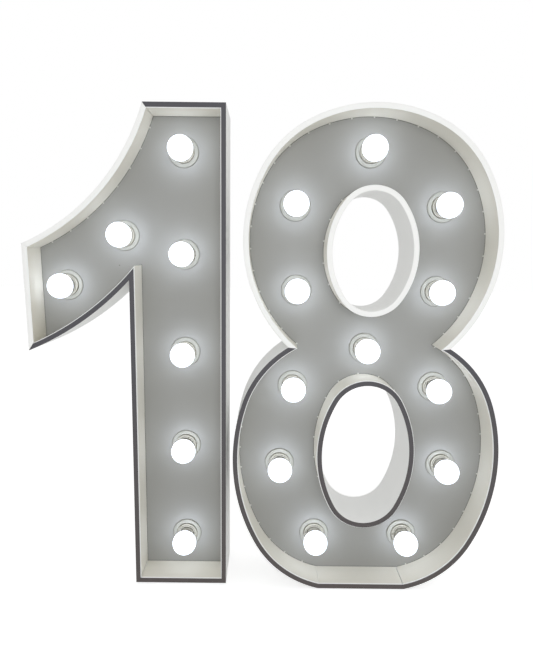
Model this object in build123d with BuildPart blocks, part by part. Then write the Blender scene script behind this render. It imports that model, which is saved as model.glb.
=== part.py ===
from build123d import *
from math import atan2, cos, degrees, hypot, radians, sin
import os

# A pair of free-standing light-up marquee digits, a 1 and an 8.
# Millimetres, Z up, the front towards -Y. The origin lies on the floor, under the middle of the pair.
# Each digit is a box of upright boards round a face panel, with a lamp channel in front of the panel
# and a wiring space behind it. "Station" is a distance from a digit's back edges towards its front.

os.makedirs("parts", exist_ok=True)

# Both digits
height = 914.0
depth = 120.0
wall = 10.0
edge_width = 8.5
edge_thick = 2.0
panel_thick = 4.0
channel_share = 31 / 60
cover_thick = 4.0
cover_recess = 8.0
fit = 0.3
digit_gap = 14.0
eight_forward = 14.0
overrun = 5.0
mitre_reach = 60.0

# The 1: its stem's outer left face is x = 0 in its own plane, the floor is z = 0
stem_width = 178.5
top_left_x = 30.0
notch_share = 0.65645
flag_reach = 195.5
flag_top_share = 0.72757
flag_foot_reach = 191.0
flag_foot_share = 0.51039
upper_sag = 36.5
underside_sag = 12.5
column_shift = 4.75
column_end = 75.0
column_count = 5
flag_lamp_shares = [(-0.11, 0.747), (-0.684, 0.642)]
one_left_block_shares = (0.186, 0.604)
one_right_block_shares = (0.395, 0.813)
one_flag_block_share = 0.6
one_flag_block_room = 2.494

# The 8: its axis is x = 0 in its own plane. Shares across are of its half width, shares up of the height
half_width = 252.5
widest_share = 0.2872
side_share = 0.38293
side_up_angle = 18.0
side_down_angle = 29.0
base_share = 0.33267
waist_share = (0.59406, 0.52462)
crown_share = 1.0297
crown_angle = 26.0
shoulder_share = 0.79208
shoulder_angle = 35.5
tail_angle = 10.0
upper_counter_share = (0.29109, 0.11816, 0.71772)
lower_counter_share = (0.32871, 0.1488, 0.29814)
counter_end_share = 0.78
eight_lamp_shares = [
    (0.0, 0.919), (0.5505, 0.811), (0.532, 0.637), (0.0, 0.515), (-0.532, 0.637), (-0.5505, 0.811),
    (0.548, 0.432), (0.6415, 0.257), (0.354, 0.0935), (-0.354, 0.0935), (-0.6415, 0.257), (-0.548, 0.432),
]
eight_block_shares = [(0.0, 0.965), (0.79, 0.728), (0.85, 0.34), (0.0, 0.0285), (-0.85, 0.34), (-0.79, 0.728)]

# A lamp: heights are measured from the panel's front, towards the front
ring_diameter = 57.5
ring_height = 7.0
ring_sides = 20
holder_diameter = 40.0
holder_bore = 28.0
holder_sides = 12
holder_room = 6.0
contact_size = 8.0
contact_thick = 1.2
globe_diameter = 47.5
globe_height = 44.0
globe_sides = 12
globe_bands = 5
globe_top_angle = 12.0
cap_diameter = 26.2
cap_depth = 17.0
tip_diameter = 9.0
tip_depth = 20.0

# Twin flex between the lamp holders
flex_width = 6.0
flex_thick = 3.0
flex_room = 12.0

# Back fittings
block_side = 18.0
fitting_z = 34.0
fitting_pitch = 44.0
inlet_body = (27.0, 20.0)
inlet_flange = (31.0, 24.0)
inlet_flange_thick = 2.5
inlet_length = 22.0
inlet_cavity = (23.5, 16.0)
inlet_cavity_depth = 17.0
pin_section = (2.0, 4.0)
pin_length = 10.0
pin_spread = 7.0
pin_row = 2.5
switch_body = (13.0, 19.0)
switch_flange = (16.0, 23.0)
switch_flange_thick = 2.0
switch_length = 18.0
rocker_width = 10.0
rocker_half = 7.8
rocker_rim = 3.2
rocker_middle = 1.8
rocker_foot = 5.5
rocker_depth = 2.5
rocker_tilt = 10.0
rocker_room = 0.8
rocker_well = 4.2

# Stations and places that follow from the sizes above
board_depth = depth - edge_thick
channel = depth * channel_share
panel_front = depth - channel
panel_back = panel_front - panel_thick
cover_front = cover_recess + cover_thick
flex_station = cover_front + flex_room
holder_length = panel_back - cover_front - holder_room
holder_radius = holder_diameter / 2
globe_radius = globe_diameter / 2
globe_proud = globe_height + globe_radius - channel
pair_depth = depth + eight_forward + globe_proud
pair_width = flag_reach + stem_width + digit_gap + 2 * half_width
one_x = flag_reach - pair_width / 2
eight_x = pair_width / 2 - half_width
one_back = pair_depth / 2
eight_back = one_back - eight_forward
notch_z = height * notch_share
flag_top_z = height * flag_top_share
flag_foot_z = height * flag_foot_share
widest_z = height * widest_share
side_radius = height * side_share
crown_radius = half_width * crown_share
shoulder_radius = half_width * shoulder_share
base_half = half_width * base_share
waist_half = half_width * waist_share[0]
waist_z = height * waist_share[1]
counters = [
    (half_width * half_x, height * half_z, height * centre_z)
    for half_x, half_z, centre_z in (upper_counter_share, lower_counter_share)
]


def one_plane(station):
    """The 1's own plane at a station: x to the right, z up, facing the front."""
    return Plane(origin=(one_x, one_back - station, 0), x_dir=(1, 0, 0), z_dir=(0, -1, 0))


def eight_plane(station):
    """The 8's own plane at a station."""
    return Plane(origin=(eight_x, eight_back - station, 0), x_dir=(1, 0, 0), z_dir=(0, -1, 0))


def save(piece, name):
    """Labels a finished piece and writes its file."""
    piece.part.label = name
    export_step(piece.part, "parts/" + name + ".step")


# The lamps' places
column_pitch = (height - 2 * column_end) / (column_count - 1)
one_lamps = [(stem_width / 2 + column_shift, column_end + k * column_pitch) for k in range(column_count)]
one_lamps += [(x * flag_reach, z * height) for x, z in flag_lamp_shares]
eight_lamps = [(x * half_width, z * height) for x, z in eight_lamp_shares]
one_switch = (one_lamps[0][0], fitting_z)
eight_switch = (eight_lamps[8][0], fitting_z)
one_inlet_at = (one_switch[0] - fitting_pitch, fitting_z)
eight_inlet_at = (eight_switch[0] - fitting_pitch, fitting_z)
block_inset = wall + fit + block_side / 2
one_blocks = [(block_inset, z * height) for z in one_left_block_shares]
one_blocks += [(stem_width - block_inset, z * height) for z in one_right_block_shares]
flag_block_z = height * one_flag_block_share
flag_end_share = (flag_block_z - flag_foot_z) / (flag_top_z - flag_foot_z)
flag_end_x = -flag_foot_reach - (flag_reach - flag_foot_reach) * flag_end_share
one_blocks += [(flag_end_x + block_inset + one_flag_block_room, flag_block_z)]
eight_blocks = [(x * half_width, z * height) for x, z in eight_block_shares]

# The outlines' corners, in order round each digit
one_corners = [
    (0, 0),
    (stem_width, 0),
    (stem_width, height),
    (top_left_x, height),
    (-flag_reach, flag_top_z),
    (-flag_foot_reach, flag_foot_z),
    (0, notch_z),
]
eight_corners = [(base_half, 0), (waist_half, waist_z), (-waist_half, waist_z), (-base_half, 0)]


def one_lines():
    """The 1: a straight stem, and a flag whose top is hollowed and whose underside is bellied."""
    Polyline(one_corners[6], *one_corners[0:4])
    SagittaArc(one_corners[3], one_corners[4], upper_sag)
    Line(one_corners[4], one_corners[5])
    SagittaArc(one_corners[5], one_corners[6], -underside_sag)


def one_filled(inset):
    """The face inside the 1's outline moved in by inset, in the digit's own plane."""
    with BuildSketch() as shape:
        with BuildLine():
            one_lines()
        make_face()
        if inset:
            offset(amount=-inset, kind=Kind.INTERSECTION, mode=Mode.REPLACE)
    return shape.sketch_local


def last_arc(start, tangent_angle, end):
    """The radius and the sweep in degrees of the arc that leaves start at an angle and ends at a point."""
    across, up = end[0] - start[0], end[1] - start[1]
    half_sweep = abs((degrees(atan2(up, across)) - tangent_angle + 180) % 360 - 180)
    return hypot(across, up) / 2 / sin(radians(half_sweep)), 2 * half_sweep


def arc_chain(start, tangent_angle, turn, arcs, inset):
    """Tangent arcs of (radius, sweep) one after another, turning left (1) or right (-1). Returns the end."""
    direction = (cos(radians(tangent_angle)), sin(radians(tangent_angle)))
    for radius, sweep in arcs:
        arc = JernArc(start=start, tangent=direction, radius=radius - inset, arc_size=turn * sweep)
        start, direction = arc @ 1, arc % 1
    return start


def arc_end(start, tangent_angle, turn, arcs):
    """Where a chain of tangent arcs ends, and its tangent's angle there."""
    x, z = start
    for radius, sweep in arcs:
        side = radians(tangent_angle + turn * 90)
        x, z = x + radius * cos(side), z + radius * sin(side)
        tangent_angle += turn * sweep
        side = radians(tangent_angle + turn * 90)
        x, z = x - radius * cos(side), z - radius * sin(side)
    return (x, z), tangent_angle


# The 8's two bowls as chains of tangent arcs: over the top from the crown, up and down from the widest
# point. Each chain runs on past its corner by the tail angle, and what is past it is cut off or joined in
crown_arcs = [(crown_radius, crown_angle), (shoulder_radius, shoulder_angle)]
rise_arcs = [(side_radius, side_up_angle)]
fall_arcs = [(side_radius, side_down_angle)]
for arcs, start, tangent_angle, turn, corner in (
    (crown_arcs, (0, height), 0, -1, eight_corners[1]),
    (rise_arcs, (half_width, widest_z), 90, 1, eight_corners[1]),
    (fall_arcs, (half_width, widest_z), -90, -1, eight_corners[0]),
):
    radius, sweep = last_arc(*arc_end(start, tangent_angle, turn, arcs), corner)
    arcs.append((radius, sweep + tail_angle))


def eight_filled(inset):
    """The same for the 8, where every arc's radius is less by the inset."""
    with BuildSketch() as shape:
        with BuildLine():
            end = arc_chain((0, height - inset), 0, -1, crown_arcs, inset)
            Line(end, (0, end.Y))
            mirror(about=Plane.YZ)
        make_face()
        with BuildLine():
            end = arc_chain((half_width - inset, widest_z), 90, 1, rise_arcs, inset)
            Line(end, (0, end.Y))
            end = arc_chain((half_width - inset, widest_z), -90, -1, fall_arcs, inset)
            Line(end, (0, end.Y))
            mirror(about=Plane.YZ)
        make_face()
        with Locations((0, inset)):
            Rectangle(2 * half_width, height, align=(Align.CENTER, Align.MAX), mode=Mode.SUBTRACT)
    return shape.sketch_local


def oval(half_x, half_z, centre_z, grow, mode=Mode.ADD):
    """An upright oval of four tangent arcs in the current sketch, with its outline moved out by grow."""
    end_radius = half_x * counter_end_share
    rise = half_z - end_radius
    flat_radius = (half_x**2 - end_radius**2 + rise**2) / (half_x - end_radius) / 2
    turn = degrees(atan2(flat_radius - half_x, rise))
    with BuildSketch(mode=Mode.PRIVATE) as shape:
        with BuildLine():
            end = JernArc(start=(0, half_z + grow), tangent=(1, 0), radius=end_radius + grow, arc_size=-turn)
            side_turn = 180 - 2 * turn
            side = JernArc(start=end @ 1, tangent=end % 1, radius=flat_radius + grow, arc_size=-side_turn)
            JernArc(start=side @ 1, tangent=side % 1, radius=end_radius + grow, arc_size=-turn)
            mirror(about=Plane.YZ)
        make_face()
    with Locations((0, centre_z)):
        add(shape.sketch_local, mode=mode)


insets = (0, wall, edge_width, wall + fit)
one_outer, one_inner, one_band, one_plate = (one_filled(inset) for inset in insets)
eight_outer, eight_inner, eight_band, eight_plate = (eight_filled(inset) for inset in insets)


def mitre(corner, inner, reach):
    """The point at a reach from an outline's corner along its mitre, inwards if the reach is positive."""
    near = min(inner.vertices(), key=lambda v: hypot(v.X - corner[0], v.Y - corner[1]))
    run = hypot(near.X - corner[0], near.Y - corner[1])
    return (
        corner[0] + (near.X - corner[0]) * reach / run,
        corner[1] + (near.Y - corner[1]) * reach / run,
    )


def sector(inner, start, end, between, mode):
    """In the current sketch, the part between the mitres at two corners, by way of the points in between."""
    Polygon(
        mitre(start, inner, mitre_reach),
        mitre(start, inner, -mitre_reach),
        *between,
        mitre(end, inner, -mitre_reach),
        mitre(end, inner, mitre_reach),
        align=None,
        mode=mode,
    )


def board(plane, outer, inner, board_end, start, end, between=()):
    """One board of a digit's rim, cut along the mitres at its two ends."""
    with BuildPart() as piece:
        with BuildSketch(plane):
            add(outer)
            add(inner, mode=Mode.SUBTRACT)
            sector(inner, start, end, between, Mode.INTERSECT)
        extrude(amount=board_end)
    return piece


# The boards round the 1, mitred at every corner. Two of them have no edge strip, and reach further forward
one_boards = {
    "one_base_wall": board_depth,
    "one_stem_right_wall": board_depth,
    "one_top_wall": board_depth,
    "one_upper_curve_wall": depth,
    "one_flag_end_wall": depth,
    "one_flag_underside_wall": board_depth,
    "one_stem_left_wall": board_depth,
}
for number, (name, board_end) in enumerate(one_boards.items()):
    ends = one_corners[number], one_corners[(number + 1) % len(one_corners)]
    save(board(one_plane(0), one_outer, one_inner, board_end, *ends), name)

# The boards round the 8: one bent strip over the upper bowl, one down each side of the lower, and the foot
beyond = half_width + mitre_reach
above = height + mitre_reach
foot_right, waist_right, waist_left, foot_left = eight_corners
over_bowl = ((beyond, waist_z), (beyond, above), (-beyond, above), (-beyond, waist_z))
eight_boards = {
    "eight_base_wall": (board_depth, foot_left, foot_right),
    "eight_lower_right_wall": (
        board_depth, foot_right, waist_right, ((beyond, -mitre_reach), (beyond, waist_z)),
    ),
    "eight_upper_wall": (depth, waist_right, waist_left, over_bowl),
    "eight_lower_left_wall": (
        board_depth, waist_left, foot_left, ((-beyond, waist_z), (-beyond, -mitre_reach)),
    ),
}
for name, cut in eight_boards.items():
    save(board(eight_plane(0), eight_outer, eight_inner, *cut), name)

# The bent strips that line the 8's two counters, of which the lower has an edge strip
with BuildPart() as eight_counter_walls:
    for counter, board_end in zip(counters, (depth, board_depth)):
        with BuildSketch(eight_plane(0)):
            oval(*counter, wall)
            oval(*counter, 0, mode=Mode.SUBTRACT)
        extrude(amount=board_end)
save(eight_counter_walls, "eight_counter_walls")

# Dark edge strips on the front edges, flush with the outer faces
past_flag = -flag_reach - mitre_reach
with BuildPart() as one_edge_trim:
    with BuildSketch(one_plane(board_depth)):
        add(one_outer)
        add(one_band, mode=Mode.SUBTRACT)
        round_flag = ((past_flag, above), (past_flag, flag_foot_z))
        sector(one_inner, one_corners[3], one_corners[5], round_flag, Mode.SUBTRACT)
    extrude(amount=edge_thick)
save(one_edge_trim, "one_edge_trim")

with BuildPart() as eight_edge_trims:
    with BuildSketch(eight_plane(board_depth)):
        add(eight_outer)
        add(eight_band, mode=Mode.SUBTRACT)
        sector(eight_inner, waist_right, waist_left, over_bowl, Mode.SUBTRACT)
        oval(*counters[1], edge_width)
        oval(*counters[1], 0, mode=Mode.SUBTRACT)
    extrude(amount=edge_thick)
save(eight_edge_trims, "eight_edge_trims")


def counter_cuts():
    """Clears a plate round the linings of the 8's counters."""
    for counter in counters:
        oval(*counter, wall + fit, mode=Mode.SUBTRACT)


def lamp_cuts(lamps):
    """The holes that the lamp holders pass through."""
    with Locations(*lamps):
        RegularPolygon(holder_radius + fit, holder_sides, mode=Mode.SUBTRACT)


def fitting_cuts(inlet_at, switch_at):
    """The back cover's openings for the inlet and the switch."""
    with Locations(inlet_at):
        Rectangle(inlet_body[0] + 2 * fit, inlet_body[1] + 2 * fit, mode=Mode.SUBTRACT)
    with Locations(switch_at):
        Rectangle(switch_body[0] + 2 * fit, switch_body[1] + 2 * fit, mode=Mode.SUBTRACT)


# Face panels and back covers
with BuildPart() as one_face_panel:
    with BuildSketch(one_plane(panel_back)):
        add(one_plate)
        lamp_cuts(one_lamps)
    extrude(amount=panel_thick)
save(one_face_panel, "one_face_panel")

with BuildPart() as eight_face_panel:
    with BuildSketch(eight_plane(panel_back)):
        add(eight_plate)
        counter_cuts()
        lamp_cuts(eight_lamps)
    extrude(amount=panel_thick)
save(eight_face_panel, "eight_face_panel")

with BuildPart() as one_back_cover:
    with BuildSketch(one_plane(cover_recess)):
        add(one_plate)
        fitting_cuts(one_inlet_at, one_switch)
    extrude(amount=cover_thick)
save(one_back_cover, "one_back_cover")

with BuildPart() as eight_back_cover:
    with BuildSketch(eight_plane(cover_recess)):
        add(eight_plate)
        counter_cuts()
        fitting_cuts(eight_inlet_at, eight_switch)
    extrude(amount=cover_thick)
save(eight_back_cover, "eight_back_cover")

# Lamps
holder_floor = panel_front - tip_depth - fit - contact_thick
cap_radius = cap_diameter / 2
cap_angle = 180 - degrees(atan2(cap_radius, (globe_radius**2 - cap_radius**2) ** 0.5))
lamp_side = [(-tip_depth, tip_diameter / 2), (-cap_depth, tip_diameter / 2), (-cap_depth, cap_radius)]
for step in range(globe_bands):
    angle = radians(cap_angle + (globe_top_angle - cap_angle) * step / globe_bands)
    lamp_side.append((globe_height + globe_radius * cos(angle), globe_radius * sin(angle)))
lamp_side.append((globe_height + globe_radius, globe_radius * sin(radians(globe_top_angle))))


def lamp_holders(plane_at, lamps):
    """Holders that pass through the panel, each with its broad shade ring in front, bored for the cap."""
    with BuildPart() as holders:
        with BuildSketch(plane_at(panel_back - holder_length)):
            with Locations(*lamps):
                RegularPolygon(holder_radius, holder_sides)
        extrude(amount=holder_length + panel_thick)
        with BuildSketch(plane_at(panel_front)):
            with Locations(*lamps):
                RegularPolygon(ring_diameter / 2, ring_sides)
        extrude(amount=ring_height)
        with BuildSketch(plane_at(holder_floor)):
            with Locations(*lamps):
                RegularPolygon(holder_bore / 2, holder_sides)
        extrude(amount=panel_front + ring_height + overrun - holder_floor, mode=Mode.SUBTRACT)
    return holders


def lamp_contacts(plane_at, lamps):
    """The centre contacts, one on the floor of each holder's bore."""
    with BuildPart() as contacts:
        with BuildSketch(plane_at(holder_floor)):
            with Locations(*lamps):
                Rectangle(contact_size, contact_size)
        extrude(amount=contact_thick)
    return contacts


# One round lamp: its axis is Z, and Z = 0 at the panel's front. Its globe, cap and tip are the solid
# that is common to one profile extruded across each pair of flats
flat_share = cos(radians(180 / globe_sides))
half_profile = [(radius * flat_share, level) for level, radius in lamp_side]
with BuildPart() as bulb:
    for pair in range(globe_sides // 2):
        with BuildSketch(Plane.XZ.rotated((0, 0, (pair + 0.5) * 360 / globe_sides))):
            with BuildLine():
                Polyline(*half_profile, *[(-x, level) for x, level in reversed(half_profile)], close=True)
            make_face()
        extrude(amount=globe_radius, both=True, mode=Mode.INTERSECT if pair else Mode.ADD)


def placed_bulb(plane_at, lamp):
    """A copy of the lamp in its holder."""
    seat = plane_at(panel_front)
    with BuildPart() as piece:
        add(bulb.part.moved(seat.location * Location((lamp[0], lamp[1], 0))))
    return piece


def flex_run(start, end, start_gap, end_gap):
    """One straight run of twin flex in the current sketch, clear of the fittings at its ends."""
    across = end[0] - start[0]
    up = end[1] - start[1]
    span = hypot(across, up)
    share = (start_gap + (span - end_gap)) / 2 / span
    with Locations((start[0] + across * share, start[1] + up * share)):
        Rectangle(span - start_gap - end_gap, flex_width, rotation=degrees(atan2(up, across)))


def wiring(plane_at, lamps, runs, inlet_at, switch_at, first):
    """The flex from holder to holder, and the leads from the inlet to the switch and on to the first lamp."""
    clear = holder_radius + fit
    with BuildPart() as flex:
        with BuildSketch(plane_at(flex_station)):
            for start, end in runs:
                flex_run(lamps[start], lamps[end], clear, clear)
            flex_run(inlet_at, switch_at, inlet_body[0] / 2 + fit, switch_body[0] / 2 + fit)
            flex_run(switch_at, lamps[first], switch_body[1] / 2 + fit, clear)
        extrude(amount=flex_thick)
    return flex


# Back fittings
def cover_blocks(plane_at, blocks):
    """Square blocks between the panel and the cover, which the cover is screwed to."""
    with BuildPart() as pieces:
        with BuildSketch(plane_at(cover_front)):
            with Locations(*blocks):
                Rectangle(block_side, block_side)
        extrude(amount=panel_back - cover_front)
    return pieces


def inlet(plane_at, place):
    """A snap-in mains inlet: a flange on the cover and a body with a rectangular socket."""
    with BuildPart() as piece:
        with BuildSketch(plane_at(cover_recess - inlet_flange_thick)):
            with Locations(place):
                Rectangle(*inlet_flange)
        extrude(amount=inlet_flange_thick)
        with BuildSketch(plane_at(cover_recess)):
            with Locations(place):
                Rectangle(*inlet_body)
        extrude(amount=inlet_length)
        with BuildSketch(plane_at(cover_recess - inlet_flange_thick)):
            with Locations(place):
                Rectangle(*inlet_cavity)
        extrude(amount=inlet_cavity_depth, mode=Mode.SUBTRACT)
    return piece


def inlet_pins(plane_at, place):
    """Three flat pins that stand on the floor of the inlet's socket."""
    floor = cover_recess - inlet_flange_thick + inlet_cavity_depth
    with BuildPart() as pins:
        with BuildSketch(plane_at(floor - pin_length)):
            with Locations(place):
                with Locations((-pin_spread, -pin_row), (0, pin_row), (pin_spread, -pin_row)):
                    Rectangle(*pin_section)
        extrude(amount=pin_length)
    return pins


def switch_frame(plane_at, place):
    """The rocker switch's housing: a flange on the cover, a body behind it and the rocker's well."""
    with BuildPart() as piece:
        with BuildSketch(plane_at(cover_recess - switch_flange_thick)):
            with Locations(place):
                Rectangle(*switch_flange)
        extrude(amount=switch_flange_thick)
        with BuildSketch(plane_at(cover_recess)):
            with Locations(place):
                Rectangle(*switch_body)
        extrude(amount=switch_length)
        with BuildSketch(plane_at(cover_recess - switch_flange_thick)):
            with Locations(place):
                Rectangle(rocker_width + 2 * fit, 2 * (rocker_half + rocker_room))
        extrude(amount=switch_flange_thick + rocker_well, mode=Mode.SUBTRACT)
    return piece


def rocker(plane_at, place):
    """The rocker, shown pressed at its top: its two halves fall away from the middle."""
    profile = [
        (rocker_rim, rocker_half),
        (rocker_middle, 0),
        (rocker_rim, -rocker_half),
        (-rocker_depth, -rocker_foot),
        (-rocker_depth, rocker_foot),
    ]
    pivot = plane_at(cover_recess).from_local_coords((place[0] - rocker_width / 2, place[1], 0))
    with BuildPart() as piece:
        with BuildSketch(Plane(origin=pivot, x_dir=(0, 1, 0), z_dir=(1, 0, 0))):
            with BuildLine():
                Polyline(*profile, close=True)
            make_face()
        extrude(amount=rocker_width)
        piece.part = piece.part.rotate(Axis(pivot, (1, 0, 0)), rocker_tilt)
    return piece


# Each digit's fittings. The runs of flex are pairs of lamps' numbers in the lists above, and the last number
# is that of the lamp which the lead from the switch goes to
for digit, plane_at, lamps, blocks, inlet_at, switch_at, runs, first in (
    (
        "one", one_plane, one_lamps, one_blocks, one_inlet_at, one_switch,
        [(0, 1), (1, 2), (2, 3), (3, 4), (3, 5), (5, 6)], 0,
    ),
    (
        "eight", eight_plane, eight_lamps, eight_blocks, eight_inlet_at, eight_switch,
        [
            (0, 1), (1, 2), (2, 3), (3, 4), (4, 5), (5, 0),
            (3, 6), (6, 7), (7, 8), (9, 10), (10, 11), (11, 3),
        ], 8,
    ),
):
    save(lamp_holders(plane_at, lamps), digit + "_lamp_holders")
    save(lamp_contacts(plane_at, lamps), digit + "_lamp_contacts")
    save(wiring(plane_at, lamps, runs, inlet_at, switch_at, first), digit + "_wiring")
    save(cover_blocks(plane_at, blocks), digit + "_cover_blocks")
    save(inlet(plane_at, inlet_at), digit + "_mains_inlet")
    save(inlet_pins(plane_at, inlet_at), digit + "_inlet_pins")
    save(switch_frame(plane_at, switch_at), digit + "_switch_frame")
    save(rocker(plane_at, switch_at), digit + "_switch_rocker")
    for number, lamp in enumerate(lamps, start=1):
        save(placed_bulb(plane_at, lamp), digit + "_bulb_" + str(number))
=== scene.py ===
import math

import bmesh
import bpy
import numpy as np
from mathutils import Matrix


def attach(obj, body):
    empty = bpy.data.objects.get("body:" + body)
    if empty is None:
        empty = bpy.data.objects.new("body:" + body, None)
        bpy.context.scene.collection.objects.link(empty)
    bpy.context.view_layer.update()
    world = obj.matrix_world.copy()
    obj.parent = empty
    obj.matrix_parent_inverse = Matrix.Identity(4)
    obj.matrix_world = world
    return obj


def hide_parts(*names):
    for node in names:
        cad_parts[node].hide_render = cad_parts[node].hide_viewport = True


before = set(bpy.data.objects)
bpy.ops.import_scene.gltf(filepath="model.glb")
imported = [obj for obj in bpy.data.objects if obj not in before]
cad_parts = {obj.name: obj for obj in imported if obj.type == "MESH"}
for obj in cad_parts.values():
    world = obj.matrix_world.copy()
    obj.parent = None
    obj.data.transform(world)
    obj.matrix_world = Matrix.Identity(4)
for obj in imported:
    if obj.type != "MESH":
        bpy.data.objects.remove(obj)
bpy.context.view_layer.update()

# A pair of free-standing light-up digits, a 1 and an 8, on a plain white studio floor.
# Sizes are in millimetres, and turn to metres where a mesh is made. In a digit's own plane x runs to the
# right and z up from the floor. A "station" is a distance from the digit's back edges towards its front.

# The photographer stood about a metre in front, between the digits, with the camera at two thirds of their
# height, tipped down a little and leaning. The lens is that of a telephone, about 30 mm on a 36 mm frame.
lens_length = 29.87
camera_place = (0.0028, -1.0704, 0.6498)
tipped_down = math.radians(8.106)
turned_right = math.radians(0.025)
leaning = math.radians(-0.618)
ahead = np.array([
    math.sin(turned_right) * math.cos(tipped_down),
    math.cos(turned_right) * math.cos(tipped_down),
    -math.sin(tipped_down),
])
level_right = np.array([math.cos(turned_right), -math.sin(turned_right), 0.0])
level_down = np.cross(ahead, level_right)
right = math.cos(leaning) * level_right + math.sin(leaning) * level_down
down = math.cos(leaning) * level_down - math.sin(leaning) * level_right
camera = bpy.data.objects.new("camera", bpy.data.cameras.new("camera"))
camera.data.lens = lens_length
camera.data.sensor_width = 36.0
turn_and_place = np.eye(4)
turn_and_place[:3, :3] = np.column_stack([right, -down, -ahead])
turn_and_place[:3, 3] = camera_place
camera.matrix_world = Matrix(turn_and_place.tolist())
bpy.context.scene.collection.objects.link(camera)
bpy.context.scene.camera = camera
bpy.context.scene.view_settings.view_transform = "Standard"


def add_node(tree, kind, inputs=None, **settings):
    """Adds a node with its settings. An input is a plain value, or another node's output that is linked."""
    made = tree.nodes.new("ShaderNode" + kind)
    for name, value in settings.items():
        setattr(made, name, value)
    for name, value in (inputs or {}).items():
        if isinstance(value, bpy.types.NodeSocket):
            tree.links.new(value, made.inputs[name])
        else:
            made.inputs[name].default_value = value
    return made


def blank_material(name):
    """A new material, and its node tree with nothing in it."""
    material = bpy.data.materials.new(name)
    material.use_nodes = True
    material.node_tree.nodes.clear()
    return material, material.node_tree


def looking(tree):
    """1 for a ray that looks at a surface, straight, by a mirror or through glass, and 0 for any other."""
    rays = add_node(tree, "LightPath").outputs
    mirrored = add_node(
        tree, "Math", {0: rays["Is Glossy Ray"], 1: rays["Is Transmission Ray"]}, operation="MAXIMUM"
    ).outputs[0]
    return add_node(tree, "Math", {0: rays["Is Camera Ray"], 1: mirrored}, operation="MAXIMUM").outputs[0]


# The studio: a white room that lights the digits softly from all sides and shows as plain white, and one
# soft lamp three metres in front, a little to the right and level with the digits' tops.
room_light = 0.7
room = bpy.data.worlds.new("white_room")
bpy.context.scene.world = room
room.use_nodes = True
tree = room.node_tree
tree.nodes.clear()
strength = add_node(
    tree, "Math", {0: looking(tree), 1: 1.0 - room_light, 2: room_light}, operation="MULTIPLY_ADD"
).outputs[0]
sky = add_node(tree, "Background", {"Color": (1, 1, 1, 1), "Strength": strength})
add_node(tree, "OutputWorld", {"Surface": sky.outputs[0]})

soft_box = bpy.data.lights.new("soft_box", "AREA")
soft_box.shape = "RECTANGLE"
soft_box.size, soft_box.size_y = 1.5, 1.2
soft_box.energy = 28.0
soft_box_stand = bpy.data.objects.new("soft_box", soft_box)
soft_box_stand.location = (0.3, -3.2, 0.95)
soft_box_stand.rotation_euler = (math.radians(81), 0, math.radians(5))
bpy.context.scene.collection.objects.link(soft_box_stand)

# The floor: white studio paper, a hair below the digits' feet. The camera sees it a little brighter than it
# is, so that it meets the room without an edge and only the digits' own shadow shows on it.
paper_white = 0.86
paper_glow = 0.46
floor_half = 9.0
floor_drop = 0.0004
paper, tree = blank_material("studio_paper")
glow = add_node(tree, "Math", {0: looking(tree), 1: paper_glow}, operation="MULTIPLY").outputs[0]
matt = add_node(tree, "BsdfDiffuse", {"Color": (paper_white, paper_white, paper_white, 1)})
lit = add_node(tree, "Emission", {"Color": (1, 1, 1, 1), "Strength": glow})
both = add_node(tree, "AddShader", {0: matt.outputs[0], 1: lit.outputs[0]})
add_node(tree, "OutputMaterial", {"Surface": both.outputs[0]})
sheet = bpy.data.meshes.new("studio_floor")
sheet.from_pydata(
    [(x * floor_half, y * floor_half, -floor_drop) for x, y in ((-1, -1), (1, -1), (1, 1), (-1, 1))],
    [], [(0, 1, 2, 3)],
)
sheet.materials.append(paper)
studio_floor = bpy.data.objects.new("studio_floor", sheet)
bpy.context.scene.collection.objects.link(studio_floor)

# The rim boards: 10 mm fibreboard, sawn for the straight sides and kerf-bent for the round ones, glued and
# pinned at mitred corners and filled. They are rolled white outside and on the front edges, and ivory inside
# the lamp channel. Each stands on edge, 120 mm deep, or 118 mm where a dark strip is glued on its front.
height = 914.0
depth = 120.0
wall = 10.0
strip_thick = 2.0
strip_wide = 8.5
arris = 0.9
path_step = 5.0

# Each digit's place: the x of its plane's origin, and the y of its back edges.
digit_places = {"one": (-251.0, 69.875), "eight": (194.0, 55.875)}

stem_width = 178.5
flag_reach = 195.5
one_corners = [
    (0, 0), (stem_width, 0), (stem_width, height), (30, height), (-flag_reach, 665), (-191, 466.5), (0, 600),
]
one_bulges = [0, 0, 0, -36.5, 0, 12.5, 0]

waist = (150.0, 479.5)
foot = (84.0, 0.0)
crown_radius, crown_turn = 260.0, 26.0
shoulder_radius, shoulder_turn = 200.0, 35.5
widest = (252.5, 262.5)
side_radius, side_rise, side_fall = 350.0, 18.0, 29.0
counters = {"upper": (73.5, 108.0, 656.0), "lower": (83.0, 136.0, 272.5)}
counter_end_share = 0.78


def bulge_centre(start, end, bulge):
    """The centre of an arc whose middle lies bulge to the right of its chord: with the radius
    r = (chord² / 4 + bulge²) / (2 bulge), it is the chord's middle moved left by r - bulge."""
    chord = end - start
    radius = (chord @ chord / 4 + bulge**2) / (2 * bulge)
    left = np.array([-chord[1], chord[0]]) / np.linalg.norm(chord)
    return (start + end) / 2 + left * (radius - bulge)


def tangent_centre(point, centre, target):
    """The centre of the arc that runs on smoothly at point from a circle about centre and passes through
    target: on the line from point to centre, at reach² / (2 × the part of the reach along that line)."""
    way = (centre - point) / np.linalg.norm(centre - point)
    reach = target - point
    return point + way * (reach @ reach) / (2 * reach @ way)


def on_circle(centre, radius, degrees):
    """The point on a circle at an angle: centre + radius (cos, sin)."""
    angle = math.radians(degrees)
    return np.array(centre) + radius * np.array([math.cos(angle), math.sin(angle)])


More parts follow.
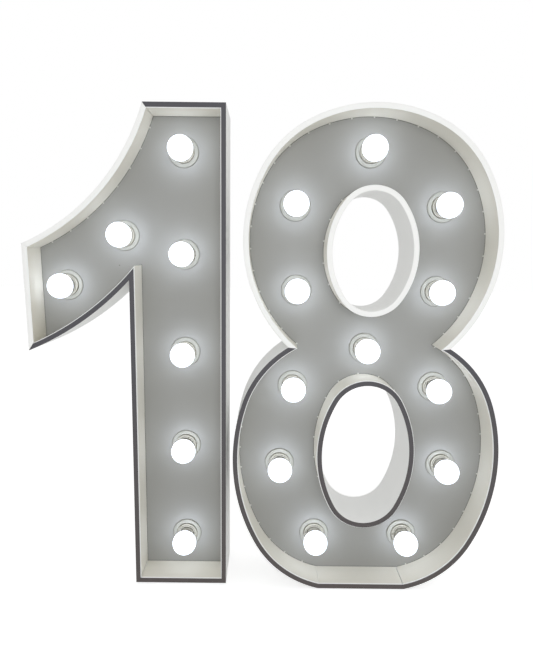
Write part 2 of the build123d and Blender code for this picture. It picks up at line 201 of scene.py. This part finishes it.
# An outline is a closed list of (start, end, centre), anticlockwise; centre is None for a straight one.
one_points = [np.array(corner, float) for corner in one_corners]
one_outline = [
    (start, end, bulge_centre(start, end, bulge) if bulge else None)
    for start, end, bulge in zip(one_points, one_points[1:] + one_points[:1], one_bulges)
]
foot_right, waist_right = np.array(foot), np.array(waist)
crown_centre = np.array([0, height - crown_radius])
crown_end = on_circle(crown_centre, crown_radius, 90 - crown_turn)
shoulder_centre = crown_end + (crown_centre - crown_end) * shoulder_radius / crown_radius
shoulder_end = on_circle(shoulder_centre, shoulder_radius, 90 - crown_turn - shoulder_turn)
flank_centre = tangent_centre(shoulder_end, shoulder_centre, waist_right)
side_centre = np.array([widest[0] - side_radius, widest[1]])
side_top = on_circle(side_centre, side_radius, side_rise)
side_foot = on_circle(side_centre, side_radius, -side_fall)
neck_centre = tangent_centre(side_top, side_centre, waist_right)
heel_centre = tangent_centre(side_foot, side_centre, foot_right)
flip = np.array([-1.0, 1.0])
right_half = [
    (foot_right, side_foot, heel_centre),
    (side_foot, side_top, side_centre),
    (side_top, waist_right, neck_centre),
    (waist_right, shoulder_end, flank_centre),
    (shoulder_end, crown_end, shoulder_centre),
]
left_half = [(end * flip, start * flip, centre * flip) for start, end, centre in reversed(right_half)]
eight_outline = [(foot_right * flip, foot_right, None)]
eight_outline += right_half + [(crown_end, crown_end * flip, crown_centre)] + left_half
outlines = {"one": one_outline, "eight": eight_outline}


def inwards(segment, point):
    """How far a point lies inside a segment, and which way inwards is: to the left of a straight line, and
    to or from the centre of an arc, as it turns left or right."""
    start, end, centre = segment
    if centre is None:
        way_along = (end - start) / np.linalg.norm(end - start)
        way = np.array([-way_along[1], way_along[0]])
        return way @ (point - start), way
    first, last, spoke = start - centre, end - centre, point - centre
    side = np.sign(first[0] * last[1] - first[1] * last[0])
    reach = np.linalg.norm(spoke)
    return side * (np.linalg.norm(first) - reach), -side * spoke / reach


# Newton's steps settle a corner to far less than a micrometre. Two segments whose ways inwards differ by
# less than this sine, about a degree, run on smoothly.
newton_steps = 6
smooth_sine = 0.02


def inset_corner(before, after, inset):
    """The point that lies inset inside two neighbouring segments, by Newton's steps from their shared
    corner. Where one runs on smoothly from the other, it is that corner moved inwards."""
    point = after[0]
    for _ in range(newton_steps):
        (near_before, way_before), (near_after, way_after) = inwards(before, point), inwards(after, point)
        ways = np.array([way_before, way_after])
        if abs(np.linalg.det(ways)) < smooth_sine:
            return after[0] + inset * way_after
        point = point + np.linalg.solve(ways, [inset - near_before, inset - near_after])
    return point


def arc_points(start, end, centre, count):
    """Count equal steps from start towards end, without end: along the straight line, or round the centre
    with the angle and the radius running evenly from one end's to the other's."""
    share = np.arange(count)[:, None] / count
    if centre is None:
        return start + (end - start) * share
    first, last = start - centre, end - centre
    angle = math.atan2(first[1], first[0])
    turn = (math.atan2(last[1], last[0]) - angle + math.pi) % (2 * math.pi) - math.pi
    radius = np.linalg.norm(first) + (np.linalg.norm(last) - np.linalg.norm(first)) * share
    return centre + radius * np.hstack([np.cos(angle + turn * share), np.sin(angle + turn * share)])


def outline_run(outline, first, last, inset, gaps=(0.0, 0.0)):
    """The points of an outline from segment first to segment last, moved in by inset. The number of steps
    depends on the outline alone, an arc counting as 5% longer than its chord, so that runs at two insets
    match point by point. The gaps pull the first and the last point back along the path."""
    runs = []
    for number in range(first, last + 1):
        before, here, after = (outline[(number + k) % len(outline)] for k in (-1, 0, 1))
        length = np.linalg.norm(here[1] - here[0])
        count = 1 if here[2] is None else max(2, int(length * 1.05 / path_step))
        start, end = inset_corner(before, here, inset), inset_corner(here, after, inset)
        runs.append(arc_points(start, end, here[2], count))
    runs.append(end[None, :])
    path = np.vstack(runs)
    path[0] += (path[1] - path[0]) * gaps[0] / np.linalg.norm(path[1] - path[0])
    path[-1] += (path[-2] - path[-1]) * gaps[1] / np.linalg.norm(path[-2] - path[-1])
    return path


def oval_run(half_x, half_z, centre_z, grow):
    """The points round an upright oval of four tangent arcs, moved out by grow: small arcs at the top and
    bottom and large ones at the sides, each with its radius longer by grow."""
    end_radius = half_x * counter_end_share
    rise = half_z - end_radius
    flat_radius = (half_x**2 - end_radius**2 + rise**2) / (half_x - end_radius) / 2
    turn = math.degrees(math.atan2(rise, flat_radius - half_x))
    arcs = [
        ((half_x - flat_radius, centre_z), flat_radius, -turn, turn),
        ((0, centre_z + rise), end_radius, turn, 180 - turn),
        ((flat_radius - half_x, centre_z), flat_radius, 180 - turn, 180 + turn),
        ((0, centre_z - rise), end_radius, 180 + turn, 360 - turn),
    ]
    runs = []
    for centre, radius, first, last in arcs:
        count = max(8, int(radius * math.radians(last - first) / path_step))
        angle = np.radians(first + (last - first) * np.arange(count) / count)[:, None]
        runs.append(np.array(centre) + (radius + grow) * np.hstack([np.cos(angle), np.sin(angle)]))
    return np.vstack(runs)


def rounded_section(width, low, high, rounding):
    """The outline of a board's section as (distance across, station): a rectangle whose corners are quarter
    circles of four points, from the inner front corner by way of the outer ones to the inner back."""
    quarter = np.radians([0, 30, 60, 90])
    points = []
    for across, station, turn in ((width, high, 0), (0, high, 90), (0, low, 180), (width, low, 270)):
        angle = quarter + math.radians(turn)
        centre = (
            across + rounding * (1 if across == 0 else -1),
            station + rounding * (1 if station == low else -1),
        )
        points.append(np.column_stack([
            centre[0] + rounding * np.cos(angle), centre[1] + rounding * np.sin(angle)
        ]))
    return np.vstack(points)


def in_space(digit, x, stations, z):
    """Points of a digit's plane at their stations, as (x, y, z) in the shared frame, in millimetres."""
    side_x, back_y = digit_places[digit]
    return np.stack(np.broadcast_arrays(x + side_x, back_y - stations, z), axis=-1)


def grid_faces(rows, columns, wrap_rows):
    """Four-sided faces between the neighbours of a grid of points, which always closes across its columns."""
    row = np.arange(rows if wrap_rows else rows - 1)[:, None]
    column = np.arange(columns)[None, :]
    next_row, next_column = (row + 1) % rows, (column + 1) % columns
    corners = (
        row * columns + column, row * columns + next_column,
        next_row * columns + next_column, next_row * columns + column,
    )
    return np.stack(np.broadcast_arrays(*corners), axis=-1).reshape(-1, 4)


def make_piece(name, points, faces, materials, body="digits", face_material=None, sharp=38.0):
    """Makes a mesh object from points in millimetres, merges doubled points, turns the faces outwards, and
    shades it smooth except across sharp edges."""
    millimetre = 0.001
    mesh = bpy.data.meshes.new(name)
    mesh.from_pydata((np.asarray(points) * millimetre).tolist(), [], [list(face) for face in faces])
    for material in materials:
        mesh.materials.append(material)
    if face_material is not None:
        mesh.polygons.foreach_set("material_index", np.asarray(face_material, dtype=np.int32))
    build = bmesh.new()
    build.from_mesh(mesh)
    bmesh.ops.remove_doubles(build, verts=build.verts, dist=millimetre / 1000)
    bmesh.ops.recalc_face_normals(build, faces=build.faces)
    build.to_mesh(mesh)
    build.free()
    mesh.polygons.foreach_set("use_smooth", np.ones(len(mesh.polygons), dtype=bool))
    mesh.set_sharp_from_angle(angle=math.radians(sharp))
    piece = bpy.data.objects.new(name, mesh)
    bpy.context.scene.collection.objects.link(piece)
    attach(piece, body)
    return piece


def carried_board(name, digit, outer, inner, section, width, materials, closed=False, bands=0):
    """A board or strip carried round a digit. The point at step i of the path and place j of the section is
    outer + (inner - outer) × distance across / width, at the section's station. Bands gives the number of
    the material of each step round the section."""
    across = (section[:, 0] / width)[None, :, None]
    flat = outer[:, None, :] + (inner - outer)[:, None, :] * across
    points = in_space(digit, flat[..., 0], section[:, 1], flat[..., 1])
    rows, columns = flat.shape[:2]
    faces = grid_faces(rows, columns, closed).tolist()
    face_material = np.tile(np.broadcast_to(bands, columns), len(faces) // columns)
    if not closed:
        faces += [list(range(columns)), list(range((rows - 1) * columns, rows * columns))]
        face_material = np.append(face_material, [0, 0])
    return make_piece(name, points.reshape(-1, 3), faces, materials, face_material=face_material)


def linear(colour):
    """An sRGB hex colour as linear red, green, blue and alpha."""
    parts = [int(colour[k:k + 2], 16) / 255 for k in (1, 3, 5)]
    return [part / 12.92 if part <= 0.04045 else ((part + 0.055) / 1.055) ** 2.4 for part in parts] + [1.0]


def noise(tree, scale, detail, roughness=0.5):
    """Noise from 0 to 1 in the piece's own coordinates, with roughly scale patches to a metre."""
    place = add_node(tree, "TexCoord").outputs["Object"]
    inputs = {"Vector": place, "Scale": scale, "Detail": detail, "Roughness": roughness}
    return add_node(tree, "TexNoise", inputs).outputs["Fac"]


def blend(tree, share, first, second):
    """A colour between two sRGB hex colours, by a share from 0 to 1."""
    inputs = {0: share, 6: linear(first), 7: linear(second)}
    return add_node(tree, "Mix", inputs, data_type="RGBA").outputs[2]


def spread(tree, share, low, high):
    """A number between low and high, by a share from 0 to 1."""
    return add_node(tree, "MapRange", {"Value": share, "To Min": low, "To Max": high}).outputs["Result"]


def relief(tree, rise, strength, distance):
    """The normal of a surface that a rise from 0 to 1 lifts by up to distance, in metres, at a strength."""
    inputs = {"Height": rise, "Strength": strength, "Distance": distance}
    return add_node(tree, "Bump", inputs).outputs["Normal"]


def surface(tree, inputs):
    """Ends a material's tree in one shader with these inputs."""
    shell = add_node(tree, "BsdfPrincipled", inputs)
    add_node(tree, "OutputMaterial", {"Surface": shell.outputs[0]})


def rolled_paint(name, warm, cool):
    """Satin water-based paint, rolled on. It gives a soft sheen, a fine orange-peel of about 2 mm, and a slow
    drift between a warmer and a cooler white over some 150 mm, where the coats are uneven."""
    paint, tree = blank_material(name)
    drift = noise(tree, 7.0, 3.0)
    peel = noise(tree, 520.0, 2.0, 0.55)
    surface(tree, {
        "Base Color": blend(tree, drift, warm, cool),
        "Roughness": spread(tree, drift, 0.42, 0.6),
        "Normal": relief(tree, peel, 0.12, 0.0004),
        "IOR": 1.46,
    })
    return paint


# White outside, where the front edges all but vanish against a white wall, and ivory inside the channel. Of
# the 16 steps round a board's section the last four, from the inner back corner on, are the inner face.
outer_paint = rolled_paint("rolled_satin_white_paint", "#F3F3F1", "#F0F1EF")
inner_paint = rolled_paint("rolled_satin_ivory_paint", "#D9D5C8", "#D4D1C6")
paint_bands = [0] * 12 + [1] * 4

# The mitres are fine lines, but the 1's lower left one and the 8's lower right one have opened a little. Each
# board has its digit, the first and the last segment of the outline, its section and the gaps at its ends.
tight, opened = 0.18, 0.6
bare_section = rounded_section(wall, 0.0, depth, arris)
rebated_section = rounded_section(wall, 0.0, depth - strip_thick, arris)
rim_boards = {
    "one_base_wall": ("one", 0, 0, rebated_section, (opened, tight)),
    "one_stem_right_wall": ("one", 1, 1, rebated_section, (tight, tight)),
    "one_top_wall": ("one", 2, 2, rebated_section, (tight, tight)),
    "one_upper_curve_wall": ("one", 3, 3, bare_section, (tight, tight)),
    "one_flag_end_wall": ("one", 4, 4, bare_section, (tight, tight)),
    "one_flag_underside_wall": ("one", 5, 5, rebated_section, (tight, tight)),
    "one_stem_left_wall": ("one", 6, 6, rebated_section, (tight, opened)),
    "eight_base_wall": ("eight", 0, 0, rebated_section, (tight, opened)),
    "eight_lower_right_wall": ("eight", 1, 3, rebated_section, (opened, tight)),
    "eight_upper_wall": ("eight", 4, 8, bare_section, (tight, tight)),
    "eight_lower_left_wall": ("eight", 9, 11, rebated_section, (tight, tight)),
}
for node, (digit, first, last, section, gaps) in rim_boards.items():
    board = carried_board(
        node.replace("_wall", "_board"), digit,
        outline_run(outlines[digit], first, last, 0.0, gaps),
        outline_run(outlines[digit], first, last, wall, gaps),
        section, wall, [outer_paint, inner_paint], bands=paint_bands,
    )
    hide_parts(node)

# The counter linings: the same board, bent into a closed oval and let into the 8's two openings.
for which, oval in counters.items():
    section = bare_section if which == "upper" else rebated_section
    carried_board(
        "eight_" + which + "_counter_lining", "eight", oval_run(*oval, 0.0), oval_run(*oval, wall),
        section, wall, [outer_paint, inner_paint], closed=True, bands=paint_bands,
    )
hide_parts("eight_counter_walls")

# The edge strips: charcoal plastic edging 8.5 mm wide and 2 mm thick, glued to the front edges flush with
# the outer faces, so that the board's inner arris shows beside it as a fine white line. Near the floor it is
# drawn a little browner, a painted warm reflection off the floor, and it is scuffed lighter and darker.
# The strip's colour at the floor, browner by a painted floor reflection, and its own colour higher up.
strip_with_floor_reflection = "#4B4543"
strip_high = "#454449"
strip_arris = 0.5
edging, tree = blank_material("extruded_charcoal_edging")
place = add_node(tree, "TexCoord").outputs["Object"]
up = add_node(tree, "SeparateXYZ", {"Vector": place}).outputs["Z"]
# Painted floor reflection: browner at the floor, fading to the strip's own colour by 0.45 m up.
floor_reflection_fade = add_node(tree, "MapRange", {"Value": up, "From Min": 0.0, "From Max": 0.45}).outputs["Result"]
scuff = noise(tree, 60.0, 5.0, 0.6)
scuffed = add_node(tree, "VectorMath", {
    0: blend(tree, floor_reflection_fade, strip_with_floor_reflection, strip_high), "Scale": spread(tree, scuff, 0.9, 1.1),
}, operation="SCALE").outputs[0]
surface(tree, {
    "Base Color": scuffed,
    "Roughness": spread(tree, scuff, 0.5, 0.68),
    "Normal": relief(tree, noise(tree, 900.0, 2.0), 0.15, 0.0003),
    "IOR": 1.5,
})

# Each strip has its name, its digit, and the first and the last segment, where -1 is the outline's last one.
strip_section = rounded_section(strip_wide, depth - strip_thick, depth, strip_arris)
strip_runs = {
    "one_edge_trim": ("one_edge_strip", "one", -2, 2),
    "eight_edge_trims": ("eight_edge_strip", "eight", -3, 3),
}
for node, (name, digit, first, last) in strip_runs.items():
    strip = carried_board(
        name, digit, outline_run(outlines[digit], first, last, 0.0),
        outline_run(outlines[digit], first, last, strip_wide), strip_section, strip_wide, [edging],
    )
    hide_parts(node)
strip = carried_board(
    "eight_counter_edge_strip", "eight", oval_run(*counters["lower"], 0.0),
    oval_run(*counters["lower"], strip_wide), strip_section, strip_wide, [edging], closed=True,
)


def refinish(node, material):
    """Gives a solid that keeps its CAD shape one finish all over."""
    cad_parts[node].data.materials.clear()
    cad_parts[node].data.materials.append(material)


# The face panels: 4 mm board, sprayed a flat pale grey-white that looks cooler than the rim, set between the
# boards 62 mm behind their front edges. The CAD plates have the right shape, and get the sprayed finish: a
# fine 1.5 mm texture and faint cloudy patches some 120 mm across.
panel_pale = "#93938F"
panel_dull = "#8C8C88"
panel_paint, tree = blank_material("sprayed_panel_paint")
cloud = noise(tree, 8.0, 2.0, 0.45)
surface(tree, {
    "Base Color": blend(tree, cloud, panel_pale, panel_dull),
    "Roughness": spread(tree, cloud, 0.5, 0.62),
    "Normal": relief(tree, noise(tree, 650.0, 2.0), 0.1, 0.0003),
    "IOR": 1.46,
})
for digit in digit_places:
    refinish(digit + "_face_panel", panel_paint)

# The seams: a bead of filler, 1 mm wide, in the corner where a panel meets the boards, coloured dark grey
# as painted shade along that corner. It stands 0.25 mm proud of the panel and is sunk 0.2 mm into its edge.
panel_front = 58.0
bead_wide = 1.0
bead_proud = 0.25
bead_sunk = 0.2
bead_arris = 0.2
# Dark grey filler: painted shade along the seams, and also the filling of the pin hole.
seam_shade_filler, tree = blank_material("filler_painted_dark_as_seam_shade")
surface(tree, {"Base Color": blend(tree, noise(tree, 45.0, 3.0), "#62625C", "#74746E"), "Roughness": 0.7})
bead_section = rounded_section(bead_wide, panel_front - bead_sunk, panel_front + bead_proud, bead_arris)
bead_runs = {
    digit + "_panel_seam": (digit, [
        outline_run(outline, 0, len(outline) - 1, inset)[:-1] for inset in (wall, wall + bead_wide)
    ])
    for digit, outline in outlines.items()
}
for which, oval in counters.items():
    bead_runs["eight_" + which + "_counter_seam"] = ("eight", [
        oval_run(*oval, grow) for grow in (wall, wall + bead_wide)
    ])
for name, (digit, (outer, inner)) in bead_runs.items():
    seam = carried_board(name, digit, outer, inner, bead_section, bead_wide, [seam_shade_filler], closed=True)


def at_places(one, places):
    """The points of one grid repeated at each place (x, z), and the faces between its rows, all closed."""
    rows, columns = one.shape[:2]
    shifts = np.array([(x, 0.0, z) for x, z in places])
    points = (one[None] + shifts[:, None, None, :]).reshape(-1, 3)
    first_point = (np.arange(len(places)) * rows * columns)[:, None, None]
    faces = (grid_faces(rows, columns, False)[None] + first_point).reshape(-1, 4)
    return points, faces


def turned(profile, places, sides, digit, ripple=None):
    """Round pieces turned from one profile of (radius, height in front of the panel). The point at angle a is
    the place + radius (cos a, sin a), and ripple adds to the radius by profile point and angle."""
    angle = np.arange(sides) * 2 * math.pi / sides
    radius = np.broadcast_to(profile[:, :1], (len(profile), sides))
    if ripple is not None:
        radius = radius + ripple(profile[:, :1], profile[:, 1:], angle[None, :])
    stations = panel_front + profile[:, 1:]
    return at_places(in_space(digit, radius * np.cos(angle), stations, radius * np.sin(angle)), places)


def along(path, pitch):
    """The points at every pitch of running length along a path, from half a pitch on."""
    run = np.concatenate([[0.0], np.cumsum(np.linalg.norm(np.diff(path, axis=0), axis=1))])
    at = np.arange(pitch / 2, run[-1], pitch)
    return np.column_stack([np.interp(at, run, path[:, 0]), np.interp(at, run, path[:, 1])])


# The dabs: small domes of dried white glue that hold the panels against the bent boards, about every 42 mm.
# One filled pin hole shows on the 1's panel, between the two lamps of the flag.
dab_radius = 1.6
dab_pitch = 42.0
dab_sides = 14
dab_inset = wall + 1.0
dab_profile = np.array([
    (0.0, 0.9), (0.7, 0.84), (1.3, 0.6), (dab_radius, 0.15), (dab_radius, -0.1), (0.0, -0.1),
])
pin_hole = (-33.0, 625.5)
pin_sides = 16
pin_profile = np.array([(0.0, 0.12), (0.9, 0.1), (1.15, 0.02), (1.15, -0.1), (0.0, -0.1)])
glue, tree = blank_material("dried_white_glue")
surface(tree, {
    "Base Color": blend(tree, noise(tree, 300.0, 2.0), "#CFCEC8", "#C2C1BA"), "Roughness": 0.4, "IOR": 1.47,
})
dab_places = {
    "one": np.vstack([
        along(outline_run(outlines["one"], side, side, dab_inset), dab_pitch) for side in (3, 5)
    ]),
    "eight": np.vstack([
        along(outline_run(outlines["eight"], 1, len(eight_outline) - 1, dab_inset), dab_pitch),
        along(oval_run(*counters["upper"], dab_inset), dab_pitch),
        along(oval_run(*counters["lower"], dab_inset), dab_pitch),
    ]),
}
for digit, places in dab_places.items():
    points, faces = turned(dab_profile, places, dab_sides, digit)
    dabs = make_piece(digit + "_glue_dabs", points, faces, [glue], sharp=60.0)
points, faces = turned(pin_profile, [pin_hole], pin_sides, "one")
pin = make_piece("one_filled_pin_hole", points, faces, [seam_shade_filler], sharp=60.0)

# The lamp holders: cream moulded holders pushed through the panel from the front, each with a broad white
# shade ring screwed on. The ring rises from a thin rounded rim to a deep groove, and the holder's collar
# stands up inside it, 7 mm high, with 24 shallow ribs and a fine groove. The lamp's cap is screwed into it.
column_x, column_end, column_count = 94.0, 75.0, 5
column_pitch = (height - 2 * column_end) / (column_count - 1)
one_lamps = [(column_x, column_end + column_pitch * k) for k in range(column_count)]
one_lamps += [(-0.11 * flag_reach, 0.747 * height), (-0.684 * flag_reach, 0.642 * height)]
eight_lamp_shares = [
    (0.0, 0.919), (0.5505, 0.811), (0.532, 0.637), (0.0, 0.515), (-0.532, 0.637), (-0.5505, 0.811),
    (0.548, 0.432), (0.6415, 0.257), (0.354, 0.0935), (-0.354, 0.0935), (-0.6415, 0.257), (-0.548, 0.432),
]
lamps = {"one": one_lamps, "eight": [(x * widest[0], z * height) for x, z in eight_lamp_shares]}
holder_profile = np.array([
    (0.0, -40.0), (18.8, -40.0), (19.3, -39.5), (19.3, 0.0),
    (28.4, 0.0), (28.75, 0.3), (28.75, 1.3), (28.6, 1.9), (28.2, 2.4), (27.6, 2.7), (26.8, 2.9),
    (22.5, 4.4), (22.25, 4.3), (22.1, 0.8), (20.3, 0.8), (20.2, 5.0), (19.9, 5.3),
    (17.9, 6.1), (17.7, 6.0), (17.6, 4.8), (16.9, 4.8), (16.8, 6.2), (16.5, 6.5),
    (15.4, 7.0), (15.0, 6.9), (14.7, 6.5), (14.5, 5.6), (14.5, -15.0), (14.0, -15.5), (14.0, -21.5),
    (0.0, -21.5),
])
holder_sides = 96
ring_steps = slice(3, 13)
collar_low, collar_inner, collar_outer = 1.0, 17.8, 20.25
rib_count = 24
rib_rise = 0.25

moulded_white, tree = blank_material("moulded_white_plastic")
surface(tree, {
    "Base Color": blend(tree, noise(tree, 30.0, 2.0), "#A0A098", "#989890"),
    "Roughness": 0.36,
    "Normal": relief(tree, noise(tree, 1500.0, 1.0), 0.06, 0.0002),
    "IOR": 1.53,
})
moulded_cream, tree = blank_material("moulded_cream_plastic")
surface(tree, {"Base Color": blend(tree, noise(tree, 60.0, 2.0), "#AAA79B", "#A09D91"), "Roughness": 0.45})


def ribs(radii, heights, angle):
    """The collar's ribs: rib_rise × cos(rib_count × angle) on its outer side and top, nothing elsewhere."""
    on_collar = (radii > collar_inner) & (radii < collar_outer) & (heights > collar_low)
    return np.where(on_collar, rib_rise * np.cos(rib_count * angle), 0.0)


# The steps of the profile that make the shade ring are white, and all others cream.
step_material = np.ones(len(holder_profile) - 1, dtype=int)
step_material[ring_steps] = 0
for digit, places in lamps.items():
    points, faces = turned(holder_profile, places, holder_sides, digit, ribs)
    holders = make_piece(
        digit + "_shade_ring_holders", points, faces, [moulded_white, moulded_cream],
        face_material=np.tile(np.repeat(step_material, holder_sides), len(places)), sharp=28.0,
    )
    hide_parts(digit + "_lamp_holders")

# The lamps: LED globes 47.5 mm across, drawn at 46.7 mm, because a lit edge spreads in a picture. An opal
# shell sits on a cream neck with a nickel-plated screw cap, which turns into the holder. Lit, the shell is
# plain white from the front, and throws most of its light sideways and back, in a cool ring on the panel.
globe_radius = 23.35
globe_centre = 44.0
shell_rows = 30
neck_radius = 12.9
cap_bottom, cap_top = -17.0, 4.0
thread_radius = 12.4
thread_swing = 0.55
thread_pitch = 3.6
thread_rows = 46
lamp_sides = 48
front_glow, band_glow, rear_glow = 1.6, 12.0, 9.0
band_low, band_high = 26.5, 34.0
shell_start = math.pi - math.asin(neck_radius / globe_radius)
sweep = np.linspace(shell_start, 0.0, shell_rows)
shell_profile = np.column_stack([
    globe_radius * np.sin(sweep), globe_centre + globe_radius * np.cos(sweep)
])
neck_profile = np.array([
    (12.2, cap_top), (12.5, 5.4), (13.4, 5.8), (13.4, 7.4), (12.6, 7.8), (12.6, 9.4), (13.3, 9.8),
    (13.3, 11.2), (12.7, 11.6), (12.7, 13.0), (12.85, 13.4), (neck_radius, shell_profile[0, 1] - 0.6),
])
thread_profile = np.column_stack([
    np.full(thread_rows, thread_radius), np.linspace(cap_bottom + 2.0, cap_top - 0.8, thread_rows)
])
tip_profile = np.array([(0.0, -20.0), (3.6, -20.0), (4.4, -19.4), (4.5, cap_bottom), (10.6, cap_bottom)])
lamp_profile = np.vstack([tip_profile, thread_profile, neck_profile, shell_profile])


def thread(_, heights, angle):
    """The screw thread: thread_swing × cos(2 pi height / pitch - angle) on the cap, and nothing elsewhere."""
    on_cap = (heights > cap_bottom + 1.5) & (heights < cap_top - 0.5)
    return np.where(on_cap, thread_swing * np.cos(2 * math.pi * heights / thread_pitch - angle), 0.0)


def lit_opal(name, glow):
    """Milk-white polycarbonate, lit from inside, with a faint marbling and a soft gloss."""
    opal, tree = blank_material(name)
    surface(tree, {
        "Base Color": blend(tree, noise(tree, 40.0, 2.0), "#DADBD8", "#D0D1CE"),
        "Roughness": 0.3,
        "IOR": 1.58,
        "Emission Color": linear("#E7EFFF"),
        "Emission Strength": glow,
    })
    return opal


nickel, tree = blank_material("nickel_plated_cap")
surface(tree, {
    "Base Color": linear("#C9C6BE"),
    "Metallic": 1.0,
    "Roughness": spread(tree, noise(tree, 250.0, 4.0), 0.22, 0.42),
})
front, neck, cap, band, rear = range(5)
lamp_materials = [
    lit_opal("lit_opal_polycarbonate_front", front_glow), moulded_cream, nickel,
    lit_opal("lit_opal_polycarbonate_band", band_glow), lit_opal("lit_opal_polycarbonate_rear", rear_glow),
]

# Each step of the profile takes its material from its upper end's height on the shell, or from its row.
cap_rows = len(tip_profile) + len(thread_profile)
neck_rows = cap_rows + len(neck_profile)
upper_end = lamp_profile[1:, 1]
row_material = np.select([upper_end < band_low, upper_end < band_high], [rear, band], front)
row_material[:cap_rows - 1] = cap
row_material[cap_rows - 1:neck_rows - 1] = neck
for digit, places in lamps.items():
    for number, lamp in enumerate(places, start=1):
        node = digit + "_bulb_" + str(number)
        points, faces = turned(lamp_profile, [lamp], lamp_sides, digit, thread)
        bulb = make_piece(
            node + "_globe", points, faces, lamp_materials, body=node,
            face_material=np.repeat(row_material, lamp_sides), sharp=50.0,
        )
        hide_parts(node)

# The back covers: 4 mm white-faced hardboard, set 8 mm in from the back edges. The board keeps its fine
# pressed texture, about 3 mm, and is a little greyer than the paint.
cover_face, tree = blank_material("white_faced_hardboard")
surface(tree, {
    "Base Color": blend(tree, noise(tree, 6.0, 3.0), "#D3D2CA", "#CAC9C1"),
    "Roughness": 0.62,
    "Normal": relief(tree, noise(tree, 330.0, 4.0, 0.6), 0.25, 0.0004),
    "IOR": 1.5,
})
for digit in digit_places:
    refinish(digit + "_back_cover", cover_face)

# The cover screws: zinc-plated pan heads 7 mm across with a cross recess, one into each wood block.
head_radius = 3.5
head_height = 1.7
head_sides = 48
head_sunk = 0.2
recess_half_length = 2.2
recess_half_width = 0.55
recess_depth = 1.1
recess_slope = 0.25
cover_back = 8.0
block_in = 19.3
one_block_places = [
    (block_in, 0.186), (block_in, 0.604), (stem_width - block_in, 0.395), (stem_width - block_in, 0.813),
    (-171.06, 0.6),
]
eight_block_shares = [
    (0.0, 0.965), (0.79, 0.728), (0.85, 0.34), (0.0, 0.0285), (-0.85, 0.34), (-0.79, 0.728),
]
blocks = {
    "one": [(x, z * height) for x, z in one_block_places],
    "eight": [(x * widest[0], z * height) for x, z in eight_block_shares],
}
zinc, tree = blank_material("zinc_plated_steel")
surface(tree, {
    "Base Color": linear("#B9BABD"),
    "Metallic": 1.0,
    "Roughness": spread(tree, noise(tree, 500.0, 3.0), 0.3, 0.5),
})


def screw_heads(places, digit):
    """Pan heads: the height over the cover is a dome, head_height × (1 - 0.6 × (radius / head_radius)⁴), less
    the recess, which falls off to its full depth just inside the edges of either arm of a cross."""
    rings = np.concatenate([np.linspace(0.0, 2.5, 14), [2.8, 3.1, 3.35, head_radius, head_radius]])
    angle = np.arange(head_sides) * 2 * math.pi / head_sides
    radius = np.broadcast_to(rings[:, None], (len(rings), head_sides))
    x, z = radius * np.cos(angle), radius * np.sin(angle)
    dome = head_height * (1 - 0.6 * (radius / head_radius) ** 4)
    outside = np.minimum(
        np.maximum(np.abs(x) - recess_half_length, np.abs(z) - recess_half_width),
        np.maximum(np.abs(z) - recess_half_length, np.abs(x) - recess_half_width),
    )
    rise = dome - recess_depth * np.clip(-outside / recess_slope, 0, 1)
    rise[-1] = -head_sunk
    return at_places(in_space(digit, x, cover_back - rise, z), places)


for digit, places in blocks.items():
    points, faces = screw_heads(places, digit)
    screws = make_piece(digit + "_cover_screws", points, faces, [zinc], sharp=40.0)

# The wood blocks: sawn pine, straight-grained, with growth rings about 6 mm apart.
pine, tree = blank_material("sawn_pine")
place = add_node(tree, "TexCoord").outputs["Object"]
stretched = add_node(tree, "Mapping", {"Vector": place, "Scale": (1.0, 0.15, 1.0)}).outputs["Vector"]
growth = add_node(
    tree, "TexWave", {"Vector": stretched, "Scale": 55.0, "Distortion": 3.0, "Detail": 3.0}, wave_type="BANDS"
).outputs["Fac"]
surface(tree, {"Base Color": blend(tree, growth, "#C9A877", "#B58F5C"), "Roughness": 0.75})

# The flex: twin-core white PVC, strung from holder to holder in the space behind the panel.
flex_sheath, tree = blank_material("extruded_white_pvc")
surface(tree, {"Base Color": blend(tree, noise(tree, 80.0, 3.0), "#DFDED8", "#D2D1CA"), "Roughness": 0.5})

# The contacts and the inlet's pins: stamped brass, lightly tarnished in spots.
brass, tree = blank_material("stamped_brass")
tarnish = noise(tree, 300.0, 4.0)
surface(tree, {
    "Base Color": blend(tree, tarnish, "#D8B469", "#B8924A"),
    "Metallic": 1.0,
    "Roughness": spread(tree, tarnish, 0.25, 0.45),
})

# The mains inlet and the rocker switch: black moulded plastic with a fine spark-eroded texture.
moulded_black, tree = blank_material("moulded_black_plastic")
spark = noise(tree, 1800.0, 3.0)
surface(tree, {
    "Base Color": linear("#262626"),
    "Roughness": spread(tree, spark, 0.4, 0.6),
    "Normal": relief(tree, spark, 0.3, 0.0002),
})

finishes = {
    "cover_blocks": pine,
    "wiring": flex_sheath,
    "lamp_contacts": brass,
    "inlet_pins": brass,
    "mains_inlet": moulded_black,
    "switch_frame": moulded_black,
    "switch_rocker": moulded_black,
}
for digit in digit_places:
    for part, finish in finishes.items():
        refinish(digit + "_" + part, finish)
